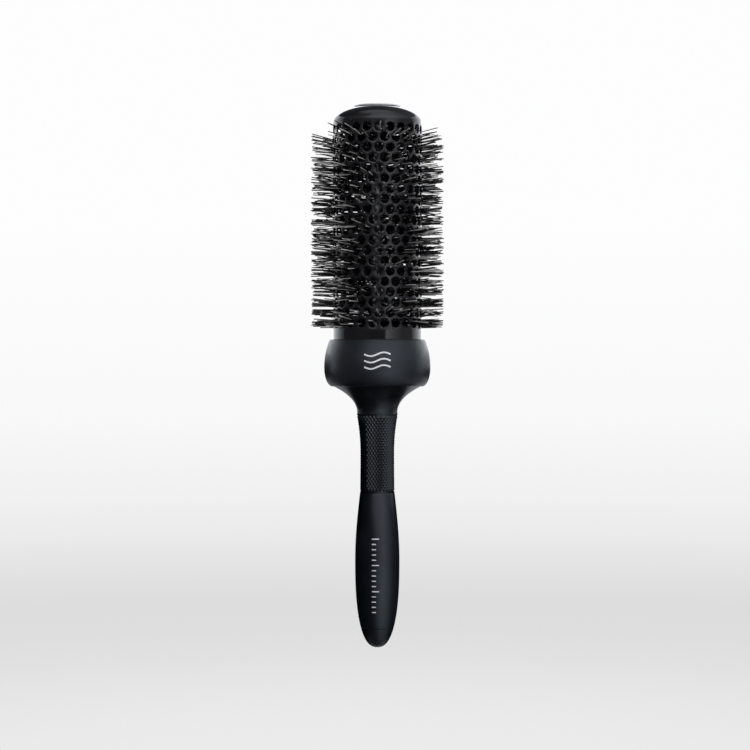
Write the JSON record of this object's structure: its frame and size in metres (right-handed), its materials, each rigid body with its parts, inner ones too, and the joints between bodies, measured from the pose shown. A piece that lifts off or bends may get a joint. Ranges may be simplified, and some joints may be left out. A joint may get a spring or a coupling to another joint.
{
  "type": "round barrel hair brush",
  "caption": "Round hair brush with a vented metal barrel, nylon bristles on a twisted wire, a soft-touch handle and a pull-out sectioning pick in its end.",
  "frame": {"origin": "middle of the patterned grip, on the brush's axis", "axes": "+Z along the brush's axis from the grip towards the barrel's rounded end, -Y is the front, +X is to the right seen from the front"},
  "size_m": [0.064, 0.064, 0.2602],
  "materials": {
    "barrel_metal": "gloss black ceramic coating",
    "bright_metal": "satin turned face",
    "hard_black": "plain moulding",
    "wire": "drawn wire",
    "soft_touch": "matte soft-touch",
    "gloss_black": "polished moulding",
    "grip_rubber": "raised diamonds",
    "seal_rubber": "smooth",
    "pick_steel": "fine drawn",
    "nylon": "satin filament"
  },
  "bodies": {
    "brush": {"barrel": "barrel_metal", "end_disc": "bright_metal", "end_plug": "hard_black", "wire_strand_a": "wire", "wire_strand_b": "wire", "wire_ferrule": "wire", "base_plug": "hard_black", "barrel_pins": "wire", "collar": "soft_touch", "handle_core": "gloss_black", "grip_sleeve": "grip_rubber", "handle_shell": "soft_touch", "pick_socket": "pick_steel", "bristle_row_01": "nylon", "bristle_row_02": "nylon", "bristle_row_03": "nylon", "bristle_row_04": "nylon", "bristle_row_05": "nylon", "bristle_row_06": "nylon", "bristle_row_07": "nylon", "bristle_row_08": "nylon", "bristle_row_09": "nylon", "bristle_row_10": "nylon", "bristle_row_11": "nylon", "bristle_row_12": "nylon", "bristle_row_13": "nylon", "bristle_row_14": "nylon", "bristle_row_15": "nylon", "bristle_row_16": "nylon", "bristle_row_17": "nylon", "bristle_row_18": "nylon", "bristle_row_19": "nylon", "bristle_row_20": "nylon"},
    "pick": {"pick_cap": "soft_touch", "pick_o_ring": "seal_rubber", "pick_spike": "pick_steel"}
  },
  "joints": [
    {"name": "pick_pull", "type": "slide", "parent": "brush", "child": "pick", "axis": [0, 0, -1], "range_m": [0, 0.06]}
  ]
}
